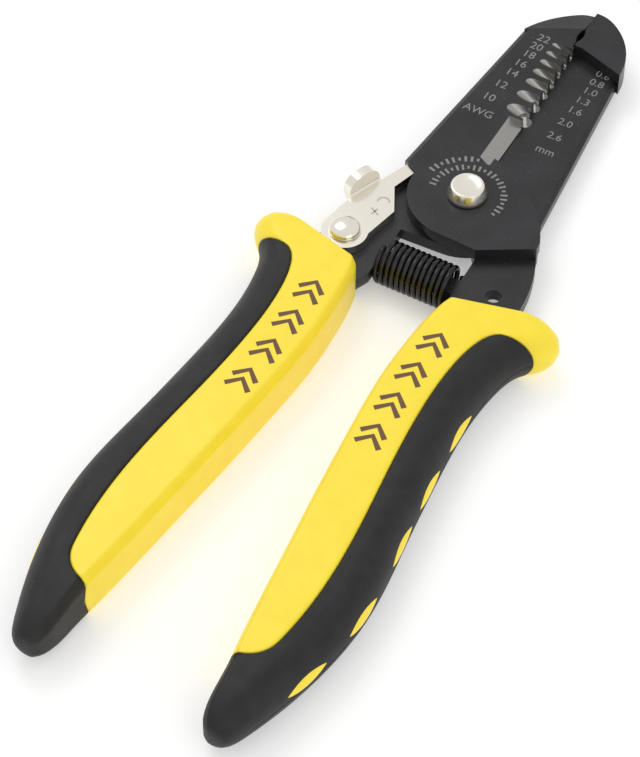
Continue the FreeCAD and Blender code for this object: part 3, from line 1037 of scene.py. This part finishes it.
@dataclass
class Steelwork:
    """The two steel halves, the pivot, the lock lever and its rivet."""

    places: Places
    finishes: Finishes
    edge: float = 0.14
    lever_edge: float = 0.22
    head_radius: float = 3.75
    head_top_radius: float = 2.85
    head_seat: float = 2.7
    head_height: float = 2.4
    nut_radius: float = 4.6
    nut_low: float = -4.3
    shank_radius: float = 3.0
    rivet_radius: float = 2.9
    rivet_seat: float = 2.1
    rivet_height: float = 1.7

    def halves(self) -> list[bpy.types.Object]:
        """The two steel halves with softened edges.

        Returns:
            The front and the back half, dressed.
        """
        front = rounded_copy("front_jaw", self.edge, Body.FRONT)
        back = rounded_copy("back_jaw", self.edge, Body.BACK)
        Finishes.dress(front, self.finishes.front_steel)
        Finishes.dress(back, self.finishes.back_steel)
        return [front, back]

    def pivot(self) -> list[bpy.types.Object]:
        """Pivot bolt turned with a raised, gently dished head, and the nut behind.

        Returns:
            The bolt and the nut, dressed.
        """
        top = self.head_seat + self.head_height
        low = self.nut_low - 0.5
        r, t = self.head_radius, self.head_top_radius
        profile = [(0, low), (self.shank_radius - 0.4, low), (self.shank_radius, low + 0.4),
                   (self.shank_radius, self.head_seat), (r - 0.15, self.head_seat),
                   *arc((r - 0.15, self.head_seat + 0.15), 0.15, -60, 0, 4), (r, self.head_seat + 0.5),
                   (r - 0.1, self.head_seat + 0.85), *arc((t - 0.05, top - 0.3), 0.3, 15, 90, 7),
                   (t - 0.5, top - 0.02), (t - 0.75, top - 0.09), (t * 0.4, top - 0.14), (0, top - 0.15)]
        bolt = lathe("pivot_bolt_turned", profile, self.places.pivot, Body.BACK)
        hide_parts("pivot_bolt")
        nut = rounded_copy("pivot_nut", 0.12, Body.BACK)
        for piece in (bolt, nut):
            Finishes.dress(piece, self.finishes.nickel)
        return [bolt, nut]

    def lock(self) -> list[bpy.types.Object]:
        """Lock lever with softened edges, and its domed rivet.

        Returns:
            The lever and the rivet, dressed.
        """
        lever = rounded_copy("latch_lever", self.lever_edge, Body.LATCH)
        seat, r = self.rivet_seat, self.rivet_radius
        rise = self.rivet_height - 0.3
        dome = [(r * math.cos(a), seat + 0.3 + rise * math.sin(a))
                for a in np.radians(np.linspace(0, 84, 15))]
        profile = [(0, -3.4), (1.9, -3.4), (2.25, -3.2), (2.4, -2.8), (2.4, -2.5), (1.6, -2.5), (1.6, seat),
                   (r - 0.12, seat), (r, seat + 0.12), *dome, (0, seat + self.rivet_height)]
        rivet = lathe("latch_rivet_turned", profile, self.places.lever_pivot, Body.BACK)
        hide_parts("latch_rivet")
        for piece in (lever, rivet):
            Finishes.dress(piece, self.finishes.nickel)
        return [lever, rivet]

    def build(self) -> list[bpy.types.Object]:
        """Build and dress every steel piece."""
        return self.halves() + self.pivot() + self.lock()


@dataclass
class ReturnSpring:
    """Coil spring between the arms, its axis along X."""

    places: Places
    finishes: Finishes
    wire: float = 1.0
    pitch: float = 1.1
    coil: float = 3.8
    reach: float = 7.0
    height: float = -0.95
    along_y: float = -18.7

    def build(self) -> bpy.types.Object:
        """Build the coil.

        The wire's middle goes round a circle about X while it moves along X by a pitch
        a turn; a small circle in the plane of the radius and X is carried along it, and
        both ends are closed.

        Returns:
            The coil, dressed.
        """
        turns = 2 * self.reach / self.pitch
        turn = np.linspace(0, turns, int(turns * 40))
        centre_x = -self.reach + np.clip(turn * self.pitch, 0, 2 * self.reach)
        angle = 2 * np.pi * turn
        radial = np.stack([np.zeros_like(angle), -np.sin(angle), np.cos(angle)], axis=-1)
        along = np.array([1.0, 0.0, 0.0])
        spin = np.linspace(0, 2 * np.pi, 14, endpoint=False)
        middle = radial * self.coil + centre_x[:, None] * along
        outwards = np.cos(spin)[None, :, None] * radial[:, None]
        ring = (outwards + np.sin(spin)[None, :, None] * along) * self.wire / 2
        points = middle[:, None] + ring + np.array([0.0, self.along_y, self.height])
        rows, columns = points.shape[:2]
        ends = np.stack([points[0].mean(axis=0), points[-1].mean(axis=0)])
        rim = np.arange(columns)
        faces = np.concatenate([grid_faces(rows, columns, True), fan_faces(rim[::-1], rows * columns),
                                fan_faces(rim + (rows - 1) * columns, rows * columns + 1)])
        points = self.places.put(np.concatenate([points.reshape(-1, 3), ends]))
        piece = new_piece("spring_coil", points, faces, None)
        start = self.places.put(np.array([-self.reach - 0.5, self.along_y, self.height]))
        end = self.places.put(np.array([self.reach + 0.5, self.along_y, self.height]))
        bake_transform(piece)
        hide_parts("return_spring")
        Finishes.dress(piece, self.finishes.wire)
        return piece


# ---------------------------------------------------------------- marks

@dataclass(frozen=True)
class NumberColumn:
    """Numbers up one blade: letter size, the first one's place, its lean with Y, and the unit under them."""

    size: float
    x: float
    lean: float
    lift: float
    unit: str
    unit_x: float
    unit_y: float
    unit_size: float = 2.5


@dataclass
class Marks:
    """Gauge numbers on the blades and plain printed patterns on the pivot rim and the handles."""

    places: Places
    finishes: Finishes
    print_height: float = 0.02
    gauges: NumberColumn = NumberColumn(2.6, -7.8, 0.11, 0.3, "AWG", -7.9, 19.7)
    diameters: NumberColumn = NumberColumn(2.4, 6.5, 0.05, -0.6, "mm", 6.6, 18.9)
    rim_arcs: tuple[tuple[float, float, float, int], ...] = ((8.8, 104.0, 164.0, 9), (6.7, -18.0, 186.0, 24))
    block_lengths: tuple[float, float] = (1.3, 0.7)
    lever_face: float = 2.0
    lever_stroke: float = 0.28
    chevrons: tuple[float, ...] = (-35.0, -37.4, -42.6, -45.0, -50.2, -52.6, -57.8, -60.2)
    sizes: tuple[tuple[float, str, str], ...] = (
        (23.6, "10", "2.6"), (27.7, "12", "2.0"), (31.4, "14", "1.6"), (34.4, "16", "1.3"),
        (37.3, "18", "1.0"), (39.9, "20", "0.8"), (42.4, "22", "0.6"))

    def text(self, words: str, size: float, x: float, y: float, height: float) -> bpy.types.Object:
        """Mesh of one word, its middle at a place.

        Args:
            words: letters.
            size: letter height setting in millimetres.
            x: middle of the word, millimetres from the pivot.
            y: middle of the word, millimetres from the pivot.
            height: height of the face it lies on.

        Returns:
            A mesh object with its place in its mesh, not yet riding on a body.
        """
        curve = bpy.data.curves.new("word", "FONT")
        curve.body = words
        curve.size = size
        curve.align_x = "CENTER"
        curve.align_y = "CENTER"
        curve.extrude = self.print_height / 2
        curve.resolution_u = 3
        source = bpy.data.objects.new("word", curve)
        mesh = bpy.data.meshes.new_from_object(source)
        bpy.data.objects.remove(source)
        on_face = Matrix.Translation((x, y, height + self.print_height / 2))
        mesh.transform(Matrix.Translation(self.places.pivot) @ Matrix.Scale(MM, 4) @ on_face)
        piece = bpy.data.objects.new("word", mesh)
        bpy.context.scene.collection.objects.link(piece)
        return piece

    def joined(self, name: str, pieces: list[bpy.types.Object], body: Body,
               material: bpy.types.Material) -> bpy.types.Object:
        """One object of several small meshes.

        Args:
            name: the piece's name.
            pieces: objects to join, which are removed.
            body: body that it rides on.
            material: its finish.

        Returns:
            The new object.
        """
        work = bmesh.new()
        for piece in pieces:
            work.from_mesh(piece.data)
            bpy.data.objects.remove(piece)
        mesh = bpy.data.meshes.new(name)
        work.to_mesh(mesh)
        work.free()
        piece = bpy.data.objects.new(name, mesh)
        bpy.context.scene.collection.objects.link(piece)
        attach(piece, body.value)
        Finishes.dress(piece, material)
        return piece

    def column(self, style: NumberColumn, words: list[str], height: float) -> list[bpy.types.Object]:
        """Numbers beside the notches of one blade and the unit under them.

        Args:
            style: sizes and places of the column.
            words: the numbers, from the widest notch up.
            height: height of the face they lie on.

        Returns:
            One object a word, not yet riding on a body.
        """
        rows = [row[0] for row in self.sizes]
        made = [self.text(word, style.size, style.x + (y - rows[0]) * style.lean, y + style.lift, height)
                for y, word in zip(rows, words)]
        return [*made, self.text(style.unit, style.unit_size, style.unit_x, style.unit_y, height)]

    def blades(self) -> list[bpy.types.Object]:
        """Wire gauges on the left blade and wire diameters in millimetres on the right blade.

        Returns:
            The two columns of numbers, dressed.
        """
        left = self.column(self.gauges, [row[1] for row in self.sizes], self.places.front_face)
        right = self.column(self.diameters, [row[2] for row in self.sizes], 0.0)
        grey = self.finishes.grey_mark
        return [self.joined("gauge_numbers", left, Body.FRONT, grey),
                self.joined("diameter_numbers", right, Body.BACK, grey)]

    def ribbon(self, path: np.ndarray, width: float, height: float) -> bpy.types.Object:
        """Flat closed print along a plan path.

        Each path point gives a left and a right point half a width off along the
        path's plan normal, at the face and a print height over it.

        Args:
            path: plan points in millimetres from the pivot.
            width: width across the path.
            height: height of the face it lies on.

        Returns:
            A mesh object, not yet riding on a body.
        """
        run = np.gradient(path, axis=0)
        off = np.stack([-run[:, 1], run[:, 0]], axis=-1)
        off /= np.linalg.norm(off, axis=1, keepdims=True)
        left, right = path + off * width / 2, path - off * width / 2
        top = height + self.print_height
        corners = [np.concatenate([edge, np.full((len(path), 1), level)], axis=1)
                   for edge, level in ((left, height), (right, height), (right, top), (left, top))]
        points = np.stack(corners, axis=1)
        faces = np.concatenate([grid_faces(len(path), 4, True), [[3, 2, 1, 0]],
                                np.arange(4)[None] + 4 * (len(path) - 1)])
        mesh = bpy.data.meshes.new("ribbon")
        mesh.from_pydata(self.places.put(points.reshape(-1, 3)).tolist(), [], faces.tolist())
        work = bmesh.new()
        work.from_mesh(mesh)
        bmesh.ops.recalc_face_normals(work, faces=work.faces)
        work.to_mesh(mesh)
        work.free()
        piece = bpy.data.objects.new("ribbon", mesh)
        bpy.context.scene.collection.objects.link(piece)
        return piece

    def rim_marks(self) -> bpy.types.Object:
        """Two arcs of plain blocks on the rim over the pivot, every third one shorter.

        Returns:
            The blocks as one piece, dressed.
        """
        blocks = []
        for radius, first, last, count in self.rim_arcs:
            middles = np.linspace(first, last, count)
            half = (middles[1] - middles[0]) * 0.2
            for number, middle in enumerate(middles):
                angle = np.radians(np.linspace(middle - half, middle + half, 5))
                path = np.stack([radius * np.cos(angle), radius * np.sin(angle)], axis=-1)
                block = self.block_lengths[0] if number % 3 else self.block_lengths[1]
                blocks.append(self.ribbon(path, block, self.places.front_face))
        return self.joined("rim_blocks", blocks, Body.FRONT, self.finishes.grey_mark)

    def lever_mark(self) -> bpy.types.Object:
        """Small engraved arc and two crossing strokes on the lever's belly.

        Returns:
            The mark as one piece, dressed.
        """
        angle = np.radians(np.linspace(20, 200, 16))
        turn = np.stack([-12.6 + 1.1 * np.cos(angle), -8.6 + 1.1 * np.sin(angle)], axis=-1)
        cross = [np.array([[-13.9, -10.9], [-11.9, -11.9]]), np.array([[-13.1, -12.3], [-12.7, -10.6]])]
        strokes = [turn, *cross]
        ribbons = [self.ribbon(path, self.lever_stroke, self.lever_face) for path in strokes]
        return self.joined("lever_mark", ribbons, Body.LATCH, self.finishes.engraving)

    def handle_marks(self, handle: Handle) -> bpy.types.Object:
        """Row of paired chevrons along the flat top of a handle's hard side.

        Args:
            handle: the handle that they lie on.

        Returns:
            The chevrons as one piece, dressed.
        """
        top = handle.middle + handle.thickness / 2
        strokes = []
        for y in self.chevrons:
            middle = 12.1 + 0.0025 * (y + 45.0)**2
            path = np.array([[middle - 2.3, y - 1.1], [middle, y + 1.1], [middle + 2.3, y - 1.1]])
            path[:, 0] *= handle.side.value
            strokes.append(self.ribbon(path, 1.0, top))
        brown = self.finishes.brown_mark
        return self.joined(handle.name("print"), strokes, handle.body, brown)


# ---------------------------------------------------------------- studio

@dataclass
class Studio:
    """Plain pale floor, soft light and the camera."""

    places: Places
    floor_half: float = 2.0
    floor_tone: float = 0.75
    floor_glow: float = 0.35
    sky: float = 0.82
    azimuth: float = 29.27
    elevation: float = 51.0
    distance: float = 0.5
    aim: tuple[float, float, float] = (-3.28, -48.79, 0.0)
    lens: float = 137.15

    def floor(self) -> None:
        """White floor under the object."""
        mesh = bpy.data.meshes.new("floor")
        corners = np.array([[-1, -1, 0], [1, -1, 0], [1, 1, 0], [-1, 1, 0]]) * self.floor_half
        mesh.from_pydata(corners.tolist(), [], [(0, 1, 2, 3)])
        plane = bpy.data.objects.new("floor", mesh)
        bpy.context.scene.collection.objects.link(plane)
        material = bpy.data.materials.new("white floor")
        material.use_nodes = True
        shader = material.node_tree.nodes["Principled BSDF"]
        shader.inputs["Base Color"].default_value = (self.floor_tone, self.floor_tone, self.floor_tone, 1)
        shader.inputs["Roughness"].default_value = 0.9
        shader.inputs["Emission Color"].default_value = (1, 1, 1, 1)
        shader.inputs["Emission Strength"].default_value = self.floor_glow
        mesh.materials.append(material)

    def light(self, name: str, place: tuple[float, float, float], size: float, power: float) -> None:
        """Square soft light that points at the object.

        Args:
            name: its name.
            place: its place in metres from the pivot.
            size: length of its side in metres.
            power: power in watts.
        """
        lamp = bpy.data.lights.new(name, "AREA")
        lamp.size = size
        lamp.energy = power
        holder = bpy.data.objects.new(name, lamp)
        bpy.context.scene.collection.objects.link(holder)
        holder.location = self.places.pivot + Vector(place)
        towards = Vector((0, -0.03, 0)) - Vector(place)
        holder.rotation_mode = "QUATERNION"
        holder.rotation_quaternion = towards.to_track_quat("-Z", "Y")

    def camera(self) -> None:
        """Camera at the set direction and distance."""
        turn, tilt = math.radians(self.azimuth), math.radians(self.elevation)
        back = Vector((math.sin(turn) * math.cos(tilt), -math.cos(turn) * math.cos(tilt), math.sin(tilt)))
        camera = bpy.data.objects.new("camera", bpy.data.cameras.new("camera"))
        bpy.context.scene.collection.objects.link(camera)
        camera.location = self.places.pivot + Vector(self.aim) * MM + back * self.distance
        camera.rotation_mode = "QUATERNION"
        camera.rotation_quaternion = (-back).to_track_quat("-Z", "Y")
        camera.data.lens = self.lens
        camera.data.sensor_width = 36
        bpy.context.scene.camera = camera

    def build(self) -> None:
        """Set up the whole studio."""
        world = bpy.data.worlds.new("studio")
        world.use_nodes = True
        world.node_tree.nodes["Background"].inputs["Color"].default_value = (1, 1, 1, 1)
        world.node_tree.nodes["Background"].inputs["Strength"].default_value = self.sky
        bpy.context.scene.world = world
        bpy.context.scene.view_settings.view_transform = "Standard"
        self.floor()
        self.light("key", (-0.35, 0.2, 0.6), 0.3, 0.9)
        self.light("fill", (0.5, -0.3, 0.4), 0.4, 0.3)
        self.camera()


def main() -> None:
    """Build the tool piece by piece."""
    logging.basicConfig(level=logging.INFO, format="%(name)s: %(message)s")
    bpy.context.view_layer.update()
    places = Places()
    finishes = Finishes(places)
    Studio(places).build()
    pieces = Steelwork(places, finishes).build()
    pieces.append(ReturnSpring(places, finishes).build())
    handles = [Handle(Side.RIGHT, Body.FRONT, places, finishes),
               Handle(Side.LEFT, Body.BACK, places, finishes)]
    marks = Marks(places, finishes)
    for handle in handles:
        pieces += handle.build()
        pieces.append(marks.handle_marks(handle))
    pieces += marks.blades()
    pieces += [marks.rim_marks(), marks.lever_mark()]
    for piece in pieces:
        log.info("%s: %d points", piece.name, len(piece.data.vertices))


if __name__ == "__main__":
    main()
